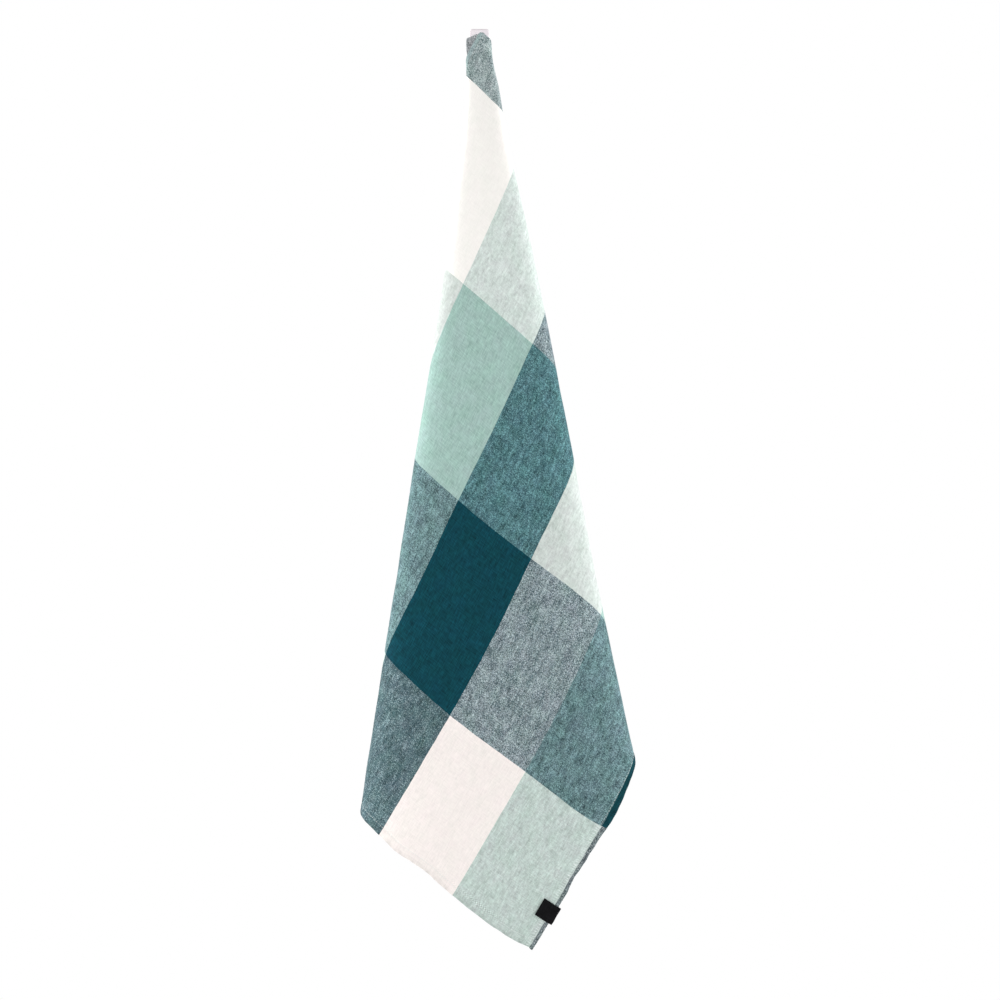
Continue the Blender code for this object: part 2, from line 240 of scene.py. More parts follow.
# Loose fibres: the grey that they add where pale and dark yarn meet, how far they give a
# check one tint, and how far that tint follows the share of the long threads
LINT_COLOUR = (0.085, 0.012, 0.055)
FIBRE_TINT = 0.65
EVEN_SHARE = 0.75
# Green above which a check is pale, how fast it becomes so, and how far its slubs calm
PALE_LEVEL, PALE_CONTRAST, PALE_CALM = 0.42, 4.0, 0.62
# Green below which a pale check is mint, and how fast it becomes so
MINT_LEVEL, MINT_CONTRAST = 0.70, 5.0
# Curls of loose fibre in mixed, pale and mint checks, and how far the threads calm there
MIXED_CURLS, PALE_CURLS, MINT_CURLS, THREAD_CALM = 3.8, 0.3, 0.8, 0.30
# Green at which the tone of yarn doesn't vary any more
BLEACHED_LEVEL = 1.02

# Noises, added up row by row
PATTERNS = {
    # strength, times a metre along a and b, detail, roughness, shift
    "thread sway": ((0.00045, (500, 45), 2, 0.5, (0, 0)),),
    "thread lift": ((0.00045, (45, 500), 2, 0.5, (7, 3)),),
    # where one yarn shows more than the other: short slubs of each yarn, patches, bars
    # and clouds
    "slubs": (
        (2.60, (1750, 620), 1, 0.5, (0, 0)),
        (2.10, (620, 1750), 1, 0.5, (2, 9)),
        (1.05, (260, 110), 3, 0.5, (5, 1)),
        (0.50, (420, 38), 2, 0.5, (9, 2)),
        (0.50, (38, 560), 2, 0.5, (1, 8)),
        (0.50, (75, 42), 2, 0.5, (2, 2)),
    ),
    "pale hairs": ((1.1, (950, 120), 2, 0.7, (3, 3)),),
    # tone of the long and of the cross yarns along their length
    "yarn tones": (
        (1.6, (900, 110), 2, 0.5, (4, 4)),
        (1.4, (110, 900), 2, 0.5, (6, 2)),
    ),
    # curls and longer strokes of loose fibre
    "fibre curls": (
        (2.2, (420, 250), 4, 0.65, (6, 6)),
        (1.7, (190, 65), 4, 0.6, (2, 7)),
    ),
    # streaks, rungs and clouds over the whole cloth
    "cloth tones": (
        (0.22, (330, 28), 2, 0.5, (1, 4)),
        (0.12, (24, 300), 2, 0.5, (8, 2)),
        (0.26, (38, 22), 3, 0.5, (3, 6)),
    ),
    "dye lots": ((1, (70, 48), 3, 0.5, (7, 7)),),
    "check edges": ((0.0012, (60, 60), 4, 0.5, (0, 0)),),
    "tick wander": ((9, (90, 140), 2, 0.5, (0, 0)),),
    "tick patches": ((2.5, (0, 70), 2, 0.5, (3, 1)),),
    "hatch patches": ((1, (45, 0), 2, 0.5, (2, 3)),),
    "edge_shade spots": ((2.4, (130, 60), 3, 0.5, (5, 5)),),
    # in the piece's own place, with three directions
    "thread twist": ((1, (2200, 2200, 900), 2, 0.5, (0, 0)),),
    "plastic cloud": ((1.4, (60, 60, 60), 3, 0.5, (0, 0)),),
    "plastic grain": ((1, (2600, 2600, 2600), 2, 0.5, (0, 0)),),
}
# How far dye lots drift between a greener and a redder grey, in red, green and blue
DYE_DRIFT = (0.42, 0.0, 0.30)

# Fine light threads across the right hem's seam, and the painted light and shade of ribs
# pressed into the bottom hem, with the same pitch, and painted shade along the bottom hem's edge
RIB_TURN = 2.0 * math.pi / 0.0026
TICK_PLACE = 0.4602
TICK_REACH = 0.0034
TICK_COLOUR = (0.86, 0.90, 0.90)
HATCH_MIDDLE = 0.3960
HATCH_SPREAD = 0.0450
HATCH_PLACE = 0.6925
HATCH_REACH = 0.0045
HATCH_STRENGTH = 0.55
EDGE_SHADE_REACH = 0.0050
EDGE_SHADE_STRENGTH = 0.42

# ---- stitches along the hems ----
STITCH_PITCH = 0.0031
STITCH_LENGTH = 0.0026
STITCH_RADIUS = 0.00018
STITCH_SIDES = 5
STITCH_TIP = 0.14
STITCH_TAPER = 0.45
STITCH_DIP = 1.3
STITCH_PROBE = 0.0010
# Height over the cloth's middle, as a share of the hem's thickness
STITCH_SKIN = 0.37

# ---- label over the right hem ----
LABEL_THICKNESS = 0.00045
LABEL_CLEARANCE = 0.00025
LABEL_FROM_CORNER = 0.0309
LABEL_LENGTH = 0.0200
LABEL_FLAP = 0.0165
LABEL_PROUD = 0.0017
LABEL_LIFT = 0.00035
LABEL_LIFT_FROM = 0.006
LABEL_ROWS = 40
LABEL_FLAP_STEPS = 30
LABEL_TURN_STEPS = 12
HEM_PROBE = 0.002
LABEL_WEAVE = {
    "Long Colour": (0.0080, 0.0085, 0.0095, 1.0),
    "Cross Colour": (0.0022, 0.0024, 0.0028, 1.0),
    "Pitch": 0.00030,
    "Mottle": 0.7,
}

# ---- hanging loop of tape ----
LOOP_THICKNESS = 0.0008
LOOP_WIDTH = 0.0094
LOOP_STEPS = 9
LOOP_COLUMNS = 12
LOOP_RIPPLE = 0.00015
LOOP_RIPPLE_TURN = 60.0
TAPE_WEAVE = {
    "Long Colour": (0.82, 0.79, 0.78, 1.0),
    "Cross Colour": (0.030, 0.085, 0.098, 1.0),
    "Long Share": 0.62,
    "Pitch": 0.00055,
}
# Middle of the tape, measured from the hung corner, and the way in which its width points
LOOP_ROUTE = (
    # x        y       z        width x  y     z
    (-0.0062, 0.0015, -0.0300, 1.00, 0.00, 0.00),
    (-0.0072, 0.0015, -0.0260, 1.00, 0.00, 0.10),
    (-0.0086, 0.0018, -0.0210, 1.00, 0.00, 0.12),
    (-0.0092, 0.0026, -0.0160, 1.00, 0.00, 0.10),
    (-0.0092, 0.0040, -0.0103, 1.00, -0.05, 0.28),
    (-0.0084, 0.0070, -0.0052, 1.00, -0.35, 0.50),
    (-0.0062, 0.0122, -0.0048, 0.75, -0.65, 0.30),
    (-0.0034, 0.0166, -0.0058, 0.35, -0.95, 0.05),
    (0.0000, 0.0180, -0.0069, 0.00, -1.00, 0.00),
    (0.0034, 0.0168, -0.0080, -0.35, -0.90, 0.00),
    (0.0058, 0.0126, -0.0108, -0.78, -0.62, 0.00),
    (0.0060, 0.0076, -0.0142, -1.00, -0.30, 0.00),
    (0.0050, 0.0036, -0.0178, -1.00, -0.10, 0.00),
    (0.0042, 0.0018, -0.0218, -1.00, 0.00, 0.00),
    (0.0038, 0.0015, -0.0260, -1.00, 0.00, 0.00),
    (0.0036, 0.0015, -0.0300, -1.00, 0.00, 0.00),
)

# ---- wall hook ----
PLATE_WIDTH = 0.0195
PLATE_HEIGHT = 0.045
PLATE_THICKNESS = 0.003
PLATE_CORNER = 0.0030
PLATE_EDGE = 0.0008
CORNER_SEGMENTS, EDGE_SEGMENTS = 8, 4
# Reach and strength of the painted shade along the plate's top and left rims
RIM_SHADE_REACH, RIM_SHADE_STRENGTH = 0.0009, 0.45
PEG_RADIUS = 0.0022
PEG_SIDES = 24
PEG_FLARE = 0.45
PEG_FLARE_PLACE = 0.0015
PEG_FLARE_SIZE = 0.0016
PEG_CAP_RINGS = 5
PEG_CAP_ANGLE = math.radians(86.0)
PEG_STEPS = 8
PEG_ROUTE = (
    # y from the wall, z from the hung corner
    (-0.0015, -0.0095),
    (-0.0080, -0.0097),
    (-0.0150, -0.0097),
    (-0.0178, -0.0086),
    (-0.0188, -0.0066),
)

# ---- view ----
VIEW_CENTRE = Vector((0.0205, -0.0450, -0.4495))
VIEW_WIDTH = 1.0
CAMERA_DISTANCE = 20.0
SENSOR_WIDTH = 36.0
GLOW_STRENGTH = 0.55
LAMPS = (("left_light", -1.0, 41.5), ("right_light", 1.0, 36.5))
LAMP_SIZE = (1.4, 2.2)
LAMP_AIM = Vector((0.0, -0.03, -0.45))


# ---- small helpers ----

def new_primitive(add, name, **sizes):
    """Adds one primitive by its operator, alone in the selection, and names it."""
    bpy.ops.object.select_all(action="DESELECT")
    add(**sizes)
    piece = bpy.context.active_object
    piece.name = piece.data.name = name
    return piece


def add_object(name, data):
    """A new object in the scene, for a mesh, a camera or a light."""
    added = bpy.data.objects.new(name, data)
    bpy.context.scene.collection.objects.link(added)
    return added


def make_active(piece):
    """Selects one piece alone, and makes it the active one."""
    bpy.ops.object.select_all(action="DESELECT")
    piece.select_set(True)
    bpy.context.view_layer.objects.active = piece


def settle(piece):
    """Puts a new primitive's place, turn and size into its mesh."""
    make_active(piece)
    bpy.ops.object.transform_apply(location=True, rotation=True, scale=True)


def set_mode(mode):
    bpy.ops.object.mode_set(mode=mode)


def select_parts(piece, kind, wanted):
    """Selects the faces or edges that pass a test, and leaves the piece in edit mode."""
    set_mode("EDIT")
    bpy.ops.mesh.select_mode(type=kind)
    bpy.ops.mesh.select_all(action="DESELECT")
    set_mode("OBJECT")
    for part in piece.data.polygons if kind == "FACE" else piece.data.edges:
        part.select = wanted(part)
    set_mode("EDIT")


def apply_modifiers(piece):
    make_active(piece)
    for modifier in list(piece.modifiers):
        bpy.ops.object.modifier_apply(modifier=modifier.name)


def face_outwards(piece):
    """Turns a closed piece's faces outwards in edit mode, as by hand."""
    make_active(piece)
    set_mode("EDIT")
    bpy.ops.mesh.select_all(action="SELECT")
    bpy.ops.mesh.normals_make_consistent(inside=False)
    set_mode("OBJECT")
    return piece


def set_points(piece, points):
    piece.data.vertices.foreach_set("co", np.asarray(points, dtype=np.float32).ravel())
    piece.data.update()


def new_grid(name, columns, rows):
    """A grid, with how far each of its points lies across and along it, from 0 to 1."""
    piece = new_primitive(bpy.ops.mesh.primitive_grid_add, name,
                          x_subdivisions=columns, y_subdivisions=rows, size=2.0)
    places = np.zeros(3 * len(piece.data.vertices))
    piece.data.vertices.foreach_get("co", places)
    across, along = (places.reshape(-1, 3)[:, :2].T + 1.0) / 2.0
    return piece, across, along


def index_of(share, count):
    """Number of the mesh line at a share of the way over a grid."""
    return np.rint(share * count).astype(int)


def lay_flat(piece, places):
    """Writes each point's place in the flat cloth, in metres, as the piece's UV map."""
    flat = piece.data.uv_layers.active
    flat.name = "flat_cloth"
    corners = np.zeros(len(piece.data.loops), dtype=int)
    piece.data.loops.foreach_get("vertex_index", corners)
    flat.data.foreach_set("uv", places[corners].ravel())


def add_thickness(piece, thickness):
    """Thickness to both sides of a piece's surface, as a modifier."""
    shell = piece.modifiers.new("thickness", "SOLIDIFY")
    shell.thickness = thickness
    shell.offset = 0.0
    return shell


def thickened(piece, thickness):
    """Gives a bent sheet its thickness, smooth shading and outward faces."""
    add_thickness(piece, thickness)
    apply_modifiers(piece)
    piece.data.shade_smooth()
    return face_outwards(piece)


def unit(vectors):
    return vectors / np.maximum(np.linalg.norm(vectors, axis=-1, keepdims=True), 1e-12)


def running_sum(values):
    return np.concatenate(((0.0,), np.cumsum(values)))


def lengths_along(points):
    """How far along a line of points each of them lies."""
    return running_sum(np.linalg.norm(np.diff(points, axis=0), axis=1))


def bell(distance, size):
    """1 at no distance, falling softly to 0 over about twice the size."""
    return np.exp(-(distance / size) ** 2)


def noise_at(*places):
    """Noise at many places, given one direction after the other."""
    return np.array([noise.noise(place) for place in np.broadcast(*places)])


def smooth_share(value, low, high):
    share = np.clip((value - low) / (high - low), 0.0, 1.0)
    return share * share * (3.0 - 2.0 * share)


# ---- the towel's hanging shape ----

def thread_walk(distance, threads):
    """Run and fall of a thread at each distance from its hem."""
    steps = np.linspace(0.0, threads[-1][0] + SPARE_LENGTH, THREAD_STEPS + 1)
    middles = 0.5 * (steps[1:] + steps[:-1])
    slant = np.radians(np.interp(middles, *np.transpose(threads)))
    run, fall = running_sum(np.cos(slant)) * steps[1], running_sum(np.sin(slant)) * steps[1]
    return np.interp(distance, steps, run), np.interp(distance, steps, fall)


def sheared(a, b):
    """Places (sideways, drop) of towel points, their threads slanted by the hanging."""
    across, across_drop = thread_walk(a, CROSS_THREADS)
    along_drop, along = thread_walk(b, LONG_THREADS)
    return across - along, across_drop + along_drop


def level_at(reach):
    """The table's row at a distance from the corner, smooth between the given rows."""
    table = np.array(LEVELS)
    slopes = np.gradient(table, table[:, REACH], axis=0)
    upper = int(np.clip(np.searchsorted(table[:, REACH], reach), 1, len(table) - 1))
    lower = upper - 1
    span = table[upper, REACH] - table[lower, REACH]
    t = (reach - table[lower, REACH]) / span
    share = 3 * t ** 2 - 2 * t ** 3
    between = (1.0 - share) * table[lower] + share * table[upper]
    easing = (t ** 3 - 2 * t ** 2 + t) * slopes[lower] + (t ** 3 - t ** 2) * slopes[upper]
    return between + easing * span


def half_run(middle, side, crown=0.0, tightness=FOLD_TIGHTNESS):
    """Points from the flat middle of a run to the fold at its side, both (x, y)."""
    turn = 0.5 * math.pi * np.linspace(0.0, 1.0, POINTS_PER_RUN) ** POINTS_TOWARDS_FOLD
    out = np.sin(turn) ** (2.0 / tightness)
    x = middle[0] + (side[0] - middle[0]) * out
    y = side[1] + (middle[1] - side[1]) * np.cos(turn) - crown * (1.0 - out * out)
    return np.column_stack((x, y))


def cut_at(reach):
    """One level cut: its points (x, y, z), and the cloth length along it from the
    plumb line."""
    row = level_at(reach)
    front = -row[LEAN]
    flap, behind, back = front + row[FLAP], front + row[BEHIND], front + row[BACK]
    middle = 0.5 * (row[LEFT] + row[RIGHT])
    left_fold = (row[LEFT], front + row[LEFT_TURN])
    right_fold = (row[RIGHT], front + row[RIGHT_TURN])
    back_fold = (row[BACK_FOLD], 0.5 * (behind + back))
    runs = (
        np.array([(middle + row[RIGHT], flap)]),
        half_run((middle, flap), left_fold),
        half_run((middle, front), left_fold, row[CROWN], LEFT_TIGHTNESS)[::-1][1:],
        half_run((middle, front), right_fold, row[CROWN], RIGHT_TIGHTNESS)[1:],
        half_run((middle, behind), right_fold)[::-1][1:],
        half_run((middle, behind), back_fold)[1:],
        half_run((middle, back), back_fold)[::-1][1:],
        np.array([(middle + 2.0 * row[RIGHT], back)]),
    )
    run_ends = np.cumsum([len(run) for run in runs]) - 1
    left, right = run_ends[1], run_ends[3]
    plan = np.vstack(runs)
    drop = np.sqrt(np.maximum(reach ** 2 - (plan ** 2).sum(axis=1), 0.0))
    points = np.column_stack((plan, -drop))
    length = lengths_along(points)
    plumb_x = reach * math.sin(PLUMB_DIRECTION)
    length -= np.interp(plumb_x, points[left:right, 0], length[left:right])
    return points, length


CUTS = [cut_at(CUT_STEP * index) for index in range(CUT_COUNT)]


def on_cut(index, direction):
    points, length = CUTS[index]
    along = CUT_STEP * index * direction
    return np.column_stack([np.interp(along, length, points[:, axis]) for axis in range(3)])


def hanging_points(a, b):
    """Where flat towel points lie on the hanging towel's middle surface."""
    sideways, drop = sheared(a, b)
    reach = np.hypot(sideways, drop)
    direction = np.arctan2(sideways, drop) - PLUMB_DIRECTION
    lower = np.minimum((reach / CUT_STEP).astype(int), CUT_COUNT - 2)
    points = np.zeros((len(reach), 3))
    for index in np.unique(lower):
        here = lower == index
        share = (reach[here] / CUT_STEP - index)[:, None]
        near = on_cut(index, direction[here])
        far = on_cut(index + 1, direction[here])
        points[here] = (1.0 - share) * near + share * far
    return points + np.array(CORNER)


def hem_share(a, b):
    """0 along the hems' edges, 1 along their inner lines, more inside."""
    side = np.minimum(a, TOWEL_WIDTH - a) / SIDE_HEM
    end = np.minimum(b, TOWEL_LENGTH - b) / END_HEM
    return np.minimum(side, end)


def hem_band(share):
    """1 in the hems, 0 in the field, with a short step between."""
    return 1.0 - smooth_share(share, 0.975, 1.075)


def hem_waves(places, waves):
    """How far sewing drew a hem outwards at each place along it."""
    shift = HEM_WANDER * noise_at(places / WANDER_SIZE, 0.0, 2.3)
    for middle, size, outwards in waves:
        shift += outwards * bell(places - middle, size)
    return shift


def drawn(a, b):
    """Flat places after sewing and hanging drew the hems and corners out of line."""
    by_right = smooth_share(a, TOWEL_WIDTH - RIGHT_WAVE_DEPTH, TOWEL_WIDTH)
    by_bottom = smooth_share(b, TOWEL_LENGTH - BOTTOM_WAVE_DEPTH, TOWEL_LENGTH)
    tail = smooth_share(a, TOWEL_WIDTH - TAIL_WIDTH, TOWEL_WIDTH - 0.4 * TAIL_WIDTH)
    tail = tail * smooth_share(b, TOWEL_LENGTH - TAIL_REACH, TOWEL_LENGTH)
    lift = smooth_share(a, LIFT_FROM_A, TOWEL_WIDTH) * smooth_share(b, LIFT_FROM_B, TOWEL_LENGTH)
    tip = TIP_DRAW * np.exp(-(a ** 2 + b ** 2) / TIP_SIZE ** 2)
    return (a + tip + by_right * hem_waves(b, RIGHT_WAVES),
            b + tip + by_bottom * hem_waves(a, BOTTOM_WAVES)
            + TAIL_LENGTH * tail - CORNER_LIFT * lift)


def crease_height(a, b):
    """Soft ridges and troughs that washing and folding left in the cloth."""
    height = np.zeros_like(a)
    for from_a, from_b, to_a, to_b, width, rise in CREASES:
        way_a, way_b = to_a - from_a, to_b - from_b
        length = math.hypot(way_a, way_b)
        along = ((a - from_a) * way_a + (b - from_b) * way_b) / length
        aside = ((b - from_b) * way_a - (a - from_a) * way_b) / length
        ends = smooth_share(along, 0.0, 0.4 * length)
        ends = ends * (1.0 - smooth_share(along, 0.6 * length, length))
        height += rise * ends * bell(aside, width)
    return height


def uneven_height(a, b):
    """How far the cloth stands off its smooth folds, outwards."""
    height = crease_height(a, b)
    for rise, size_a, size_b, shift in UNEVENNESS:
        height += rise * noise_at(a / size_a + shift, b / size_b, shift)
    return height


def hem_height(a, b):
    """Relief of the hems: the turned-in layer inside, the seam's dip and its puckers."""
    share = hem_share(a, b)
    dip = bell(share - SEAM_PLACE, SEAM_DIP_REACH)
    fade = bell(share - SEAM_PLACE, PUCKER_REACH)
    walk = np.where(np.minimum(a, TOWEL_WIDTH - a) < np.minimum(b, TOWEL_LENGTH - b), b, a)
    wander = noise_at(walk / PUCKER_WANDER_SIZE, 0.0, 5.1)
    pucker = np.sin(2.0 * math.pi * walk / PUCKER_PITCH + PUCKER_WANDER * wander)
    pucker = pucker * (0.6 + wander)
    return PUCKER_HEIGHT * pucker * fade - SEAM_DIP * dip - HEM_SHIFT * hem_band(share)


def outward_normals(a, b):
    step = NORMAL_PROBE
    along_a = hanging_points(a + step, b) - hanging_points(a - step, b)
    along_b = hanging_points(a, b + step) - hanging_points(a, b - step)
    return unit(np.cross(along_b, along_a))


def cloth_points(a, b):
    """Points of the finished cloth's middle surface, and its outward normals."""
    inner_a = np.clip(a, NORMAL_MARGIN, TOWEL_WIDTH - NORMAL_MARGIN)
    inner_b = np.clip(b, NORMAL_MARGIN, TOWEL_LENGTH - NORMAL_MARGIN)
    normals = outward_normals(inner_a, inner_b)
    reach = np.hypot(*sheared(a, b))
    height = smooth_share(reach, *CLOTH_CALM) * uneven_height(a, b)
    height = height + smooth_share(reach, *HEM_CALM) * hem_height(a, b)
    points = hanging_points(*drawn(a, b)) + height[:, None] * normals
    points[:, 2] += SHOULDER_RISE * bell(reach - SHOULDER_REACH, SHOULDER_SIZE)
    return points, normals


def nearness(places, others):
    gaps = places[:, None, :] - others[None, :, :]
    return np.exp(-(gaps ** 2).sum(axis=2) / DRIFT_SIZE ** 2)


def thread_places(a, b):
    """Which threads cross at the given places, their wandering taken off."""
    table = np.array(THREAD_DRIFT)
    pulls = np.linalg.solve(nearness(table[:, :2], table[:, :2]), table[:, 2:])
    places = np.column_stack((a, b))
    return places - nearness(places, table[:, :2]) @ pulls


def grid_places(size, hem_width):
    """Places of the mesh lines across the towel: close at the hems, even between."""
    hem = hem_width * np.array(HEM_STEPS)
    count = math.ceil((size - 2.0 * hem[-1]) / GRID_STEP)
    field = np.linspace(hem[-1], size - hem[-1], count + 1)[1:-1]
    return np.concatenate((hem, field, (size - hem)[::-1]))


def build_towel():
    along_a, along_b = grid_places(TOWEL_WIDTH, SIDE_HEM), grid_places(TOWEL_LENGTH, END_HEM)
    towel, across, along = new_grid("hanging_towel", len(along_a) - 1, len(along_b) - 1)
    a = along_a[index_of(across, len(along_a) - 1)]
    b = along_b[index_of(along, len(along_b) - 1)]
    points, _ = cloth_points(a, b)
    set_points(towel, points)
    lay_flat(towel, thread_places(a, b))

    share = hem_share(a, b)
    pinch = SEAM_PINCH * bell(share - SEAM_PLACE, SEAM_PINCH_REACH)
    edge = 1.0 - EDGE_PINCH + EDGE_PINCH * smooth_share(share, 0.0, EDGE_PINCH_REACH)
    hems = towel.vertex_groups.new(name="hem_thickness")
    for index, weight in enumerate(hem_band(share) * (1.0 - pinch) * edge):
        hems.add((index,), float(weight), "REPLACE")
    shell = add_thickness(towel, HEM_THICKNESS)
    shell.vertex_group = "hem_thickness"
    shell.thickness_vertex_group = CLOTH_THICKNESS / HEM_THICKNESS
    apply_modifiers(towel)
    towel.data.shade_smooth()
    towel.vertex_groups.clear()
    return towel


# ---- stitches ----

def seam_places():
    """Flat places along the four seams, as rows of (a, b, direction a, direction b)."""
    left, top = SEAM_PLACE * SIDE_HEM, SEAM_PLACE * END_HEM
    right, bottom = TOWEL_WIDTH - left, TOWEL_LENGTH - top
    seams = (
        ((left, top), (right, top)),
        ((right, top), (right, bottom)),
        ((right, bottom), (left, bottom)),
        ((left, bottom), (left, top)),
    )
    rows = []
    for start, end in seams:
        way = Vector(end) - Vector(start)
        count = int(way.length / STITCH_PITCH)
        for index in range(count):
            middle = Vector(start) + way * ((index + 0.5) / count)
            rows.append((*middle, *way.normalized()))
    return np.array(rows)


def build_stitch():
    """One stitch at the origin, its length along X, its ends dipping into the cloth."""
    straight = (1.0 - 2.0 * STITCH_TIP) * STITCH_LENGTH
    stitch = new_primitive(
        bpy.ops.mesh.primitive_cylinder_add, "one_stitch", vertices=STITCH_SIDES,
        radius=STITCH_RADIUS, depth=straight, rotation=(0.0, math.radians(90.0), 0.0))
    settle(stitch)
    for side in (-1.0, 1.0):
        select_parts(stitch, "FACE", lambda face: side * face.normal.x > 0.9)
        tip = Vector((side * STITCH_TIP * STITCH_LENGTH, 0.0, -STITCH_DIP * STITCH_RADIUS))
        bpy.ops.mesh.extrude_region_move(TRANSFORM_OT_translate={"value": tip})
        bpy.ops.transform.resize(
            value=(1.0, STITCH_TAPER, STITCH_TAPER),
            center_override=Vector((0.5 * side * straight, 0.0, 0.0)) + tip)
        set_mode("OBJECT")
    return stitch


def build_stitches():
    """The hem seams on both faces of the cloth: copies of one stitch, joined."""
    a, b, way_a, way_b = seam_places().T
    ahead, normals = cloth_points(a + STITCH_PROBE * way_a, b + STITCH_PROBE * way_b)
    astern, _ = cloth_points(a - STITCH_PROBE * way_a, b - STITCH_PROBE * way_b)
    middles = 0.5 * (ahead + astern)
    forward = unit(ahead - astern)
    stitch = build_stitch()
    copies = []
    for face in (1.0, -1.0):
        for middle, along, normal in zip(middles, forward, face * normals):
            up = unit(normal - normal.dot(along) * along)
            turned = Matrix((along, np.cross(up, along), up)).transposed().to_4x4()
            copy = add_object("hem_stitches", stitch.data.copy())
            place = Matrix.Translation(Vector(middle + STITCH_SKIN * HEM_THICKNESS * up))
            copy.data.transform(place @ turned)
            copies.append(copy)
    bpy.data.objects.remove(stitch, do_unlink=True)
    stitches = copies[0]
    make_active(stitches)
    for copy in copies:
        copy.select_set(True)
    bpy.ops.object.join()
    stitches.name = stitches.data.name = "hem_stitches"
    stitches.data.shade_smooth()
    return face_outwards(stitches)


# ---- label ----

def label_profile():
    """Label section from front to back flap: how far in from the hem, its turn, and
    how far along the flat label."""
    flap = np.linspace(LABEL_FLAP, -LABEL_PROUD, LABEL_FLAP_STEPS, endpoint=False)
    turn = np.linspace(0.0, math.pi, LABEL_TURN_STEPS + 1)
    inward = np.concatenate((flap, np.full_like(turn, -LABEL_PROUD), flap[::-1]))
    turns = np.concatenate((np.zeros_like(flap), turn, np.full_like(flap, math.pi)))
    radius = 0.5 * HEM_THICKNESS + LABEL_CLEARANCE
    front = LABEL_FLAP - inward
    back = LABEL_FLAP + inward + 2.0 * LABEL_PROUD
    return inward, turns, np.where(turns < math.pi, front, back) + radius * turns


def label_places(inward, along):
    """Points of the label's middle on the cloth, square to the hem, with directions
    outwards from the hem and out of the cloth's front."""
    middle_b = TOWEL_LENGTH - LABEL_FROM_CORNER - 0.5 * LABEL_LENGTH
    here, beside, below = hanging_points(TOWEL_WIDTH - np.array((0.0, HEM_PROBE, 0.0)),
                                         middle_b + np.array((0.0, 0.0, HEM_PROBE)))
    to_cloth = np.linalg.pinv(np.column_stack((here - beside, below - here)) / HEM_PROBE)
    hem_way = unit(below - here)
    outward = here - beside
    outward = unit(outward - outward.dot(hem_way) * hem_way)
    shift = (0.5 - along)[:, None] * LABEL_LENGTH * hem_way
    shift = shift - np.maximum(inward, 0.0)[:, None] * outward
    shift_a, shift_b = to_cloth @ shift.T
    base, normals = cloth_points(TOWEL_WIDTH + np.minimum(shift_a, 0.0), middle_b + shift_b)
    return base + np.maximum(-inward, 0.0)[:, None] * outward, outward, normals


def build_label():
    inward, turns, travel = label_profile()
    label, across, along = new_grid("folded_label", len(inward) - 1, LABEL_ROWS)
    column = index_of(across, len(inward) - 1)
    base, outward, front = label_places(inward[column], along)
    turn = turns[column][:, None]
    stand_off = 0.5 * HEM_THICKNESS + LABEL_CLEARANCE + 0.5 * LABEL_THICKNESS
    lift = LABEL_LIFT * smooth_share(inward[column], LABEL_LIFT_FROM, LABEL_FLAP)
    lift = lift * (0.6 + 0.4 * np.cos(math.pi * (along - 0.2)))
    offset = (stand_off + lift)[:, None] * (np.cos(turn) * front + np.sin(turn) * outward)
    set_points(label, base + offset)
    lay_flat(label, np.column_stack((travel[column], LABEL_LENGTH * along)))
    return thickened(label, LABEL_THICKNESS)


# ---- hanging loop ----

def smooth_route(rows, steps):
    """Points of a smooth curve through the rows, with some steps between each two."""
    table = np.array(rows)
    padded = np.vstack((2 * table[0] - table[1], table, 2 * table[-1] - table[-2]))
    route = []
    for index in range(len(table) - 1):
        before, start, end, after = padded[index:index + 4]
        for step in range(steps):
            t = step / steps
            route.append(0.5 * (2 * start + (end - before) * t
                                + (2 * before - 5 * start + 4 * end - after) * t ** 2
                                + (3 * start - 3 * end + after - before) * t ** 3))
    route.append(table[-1])
    return np.array(route)


def build_loop():
    """Tape loop sewn behind the corner, rippled a little along both sides."""
    route = smooth_route(LOOP_ROUTE, LOOP_STEPS)
    last = len(route) - 1
    loop, across, along = new_grid("corner_loop", last, LOOP_COLUMNS)
    index = index_of(across, last)
    middle = route[:, :3]
    forward = unit(middle[np.minimum(index + 1, last)] - middle[np.maximum(index - 1, 0)])
    width = route[index, 3:]
    width = unit(width - (width * forward).sum(axis=1, keepdims=True) * forward)
    side = 2.0 * along[:, None] - 1.0
    ripple = LOOP_RIPPLE * np.sin(index / last * LOOP_RIPPLE_TURN)[:, None] * np.abs(side)
    set_points(loop, np.array(CORNER) + middle[index] + 0.5 * LOOP_WIDTH * side * width
               + ripple * np.cross(forward, width))
    lay_flat(loop, np.column_stack((LOOP_WIDTH * along, lengths_along(middle)[index])))
    return thickened(loop, LOOP_THICKNESS)


# ---- wall hook ----

def build_hook():
    """Moulded hook: plate with rounded corners and an upturned peg with a round end."""
    hook = new_primitive(
        bpy.ops.mesh.primitive_cube_add, "moulded_hook", size=1.0,
        location=(0.0, -0.5 * PLATE_THICKNESS, 0.0),
        scale=(PLATE_WIDTH, PLATE_THICKNESS, PLATE_HEIGHT))
    settle(hook)

    def goes_through(edge):
        start, end = (hook.data.vertices[index].co for index in edge.vertices)
        return abs(start.y - end.y) > 0.5 * PLATE_THICKNESS

    select_parts(hook, "EDGE", goes_through)
    bpy.ops.mesh.bevel(offset=PLATE_CORNER, segments=CORNER_SEGMENTS, affect="EDGES")
    set_mode("OBJECT")
    rim = hook.modifiers.new("rounded_rim", "BEVEL")
    rim.width = PLATE_EDGE
    rim.segments = EDGE_SEGMENTS
    rim.limit_method = "ANGLE"
    apply_modifiers(hook)

    peg = build_peg()
    joined = hook.modifiers.new("peg", "BOOLEAN")
    joined.operation = "UNION"
    joined.solver = "EXACT"
    joined.object = peg
    apply_modifiers(hook)
    bpy.data.objects.remove(peg, do_unlink=True)
    make_active(hook)
    bpy.ops.object.shade_smooth_by_angle(angle=math.radians(35.0))
    return hook


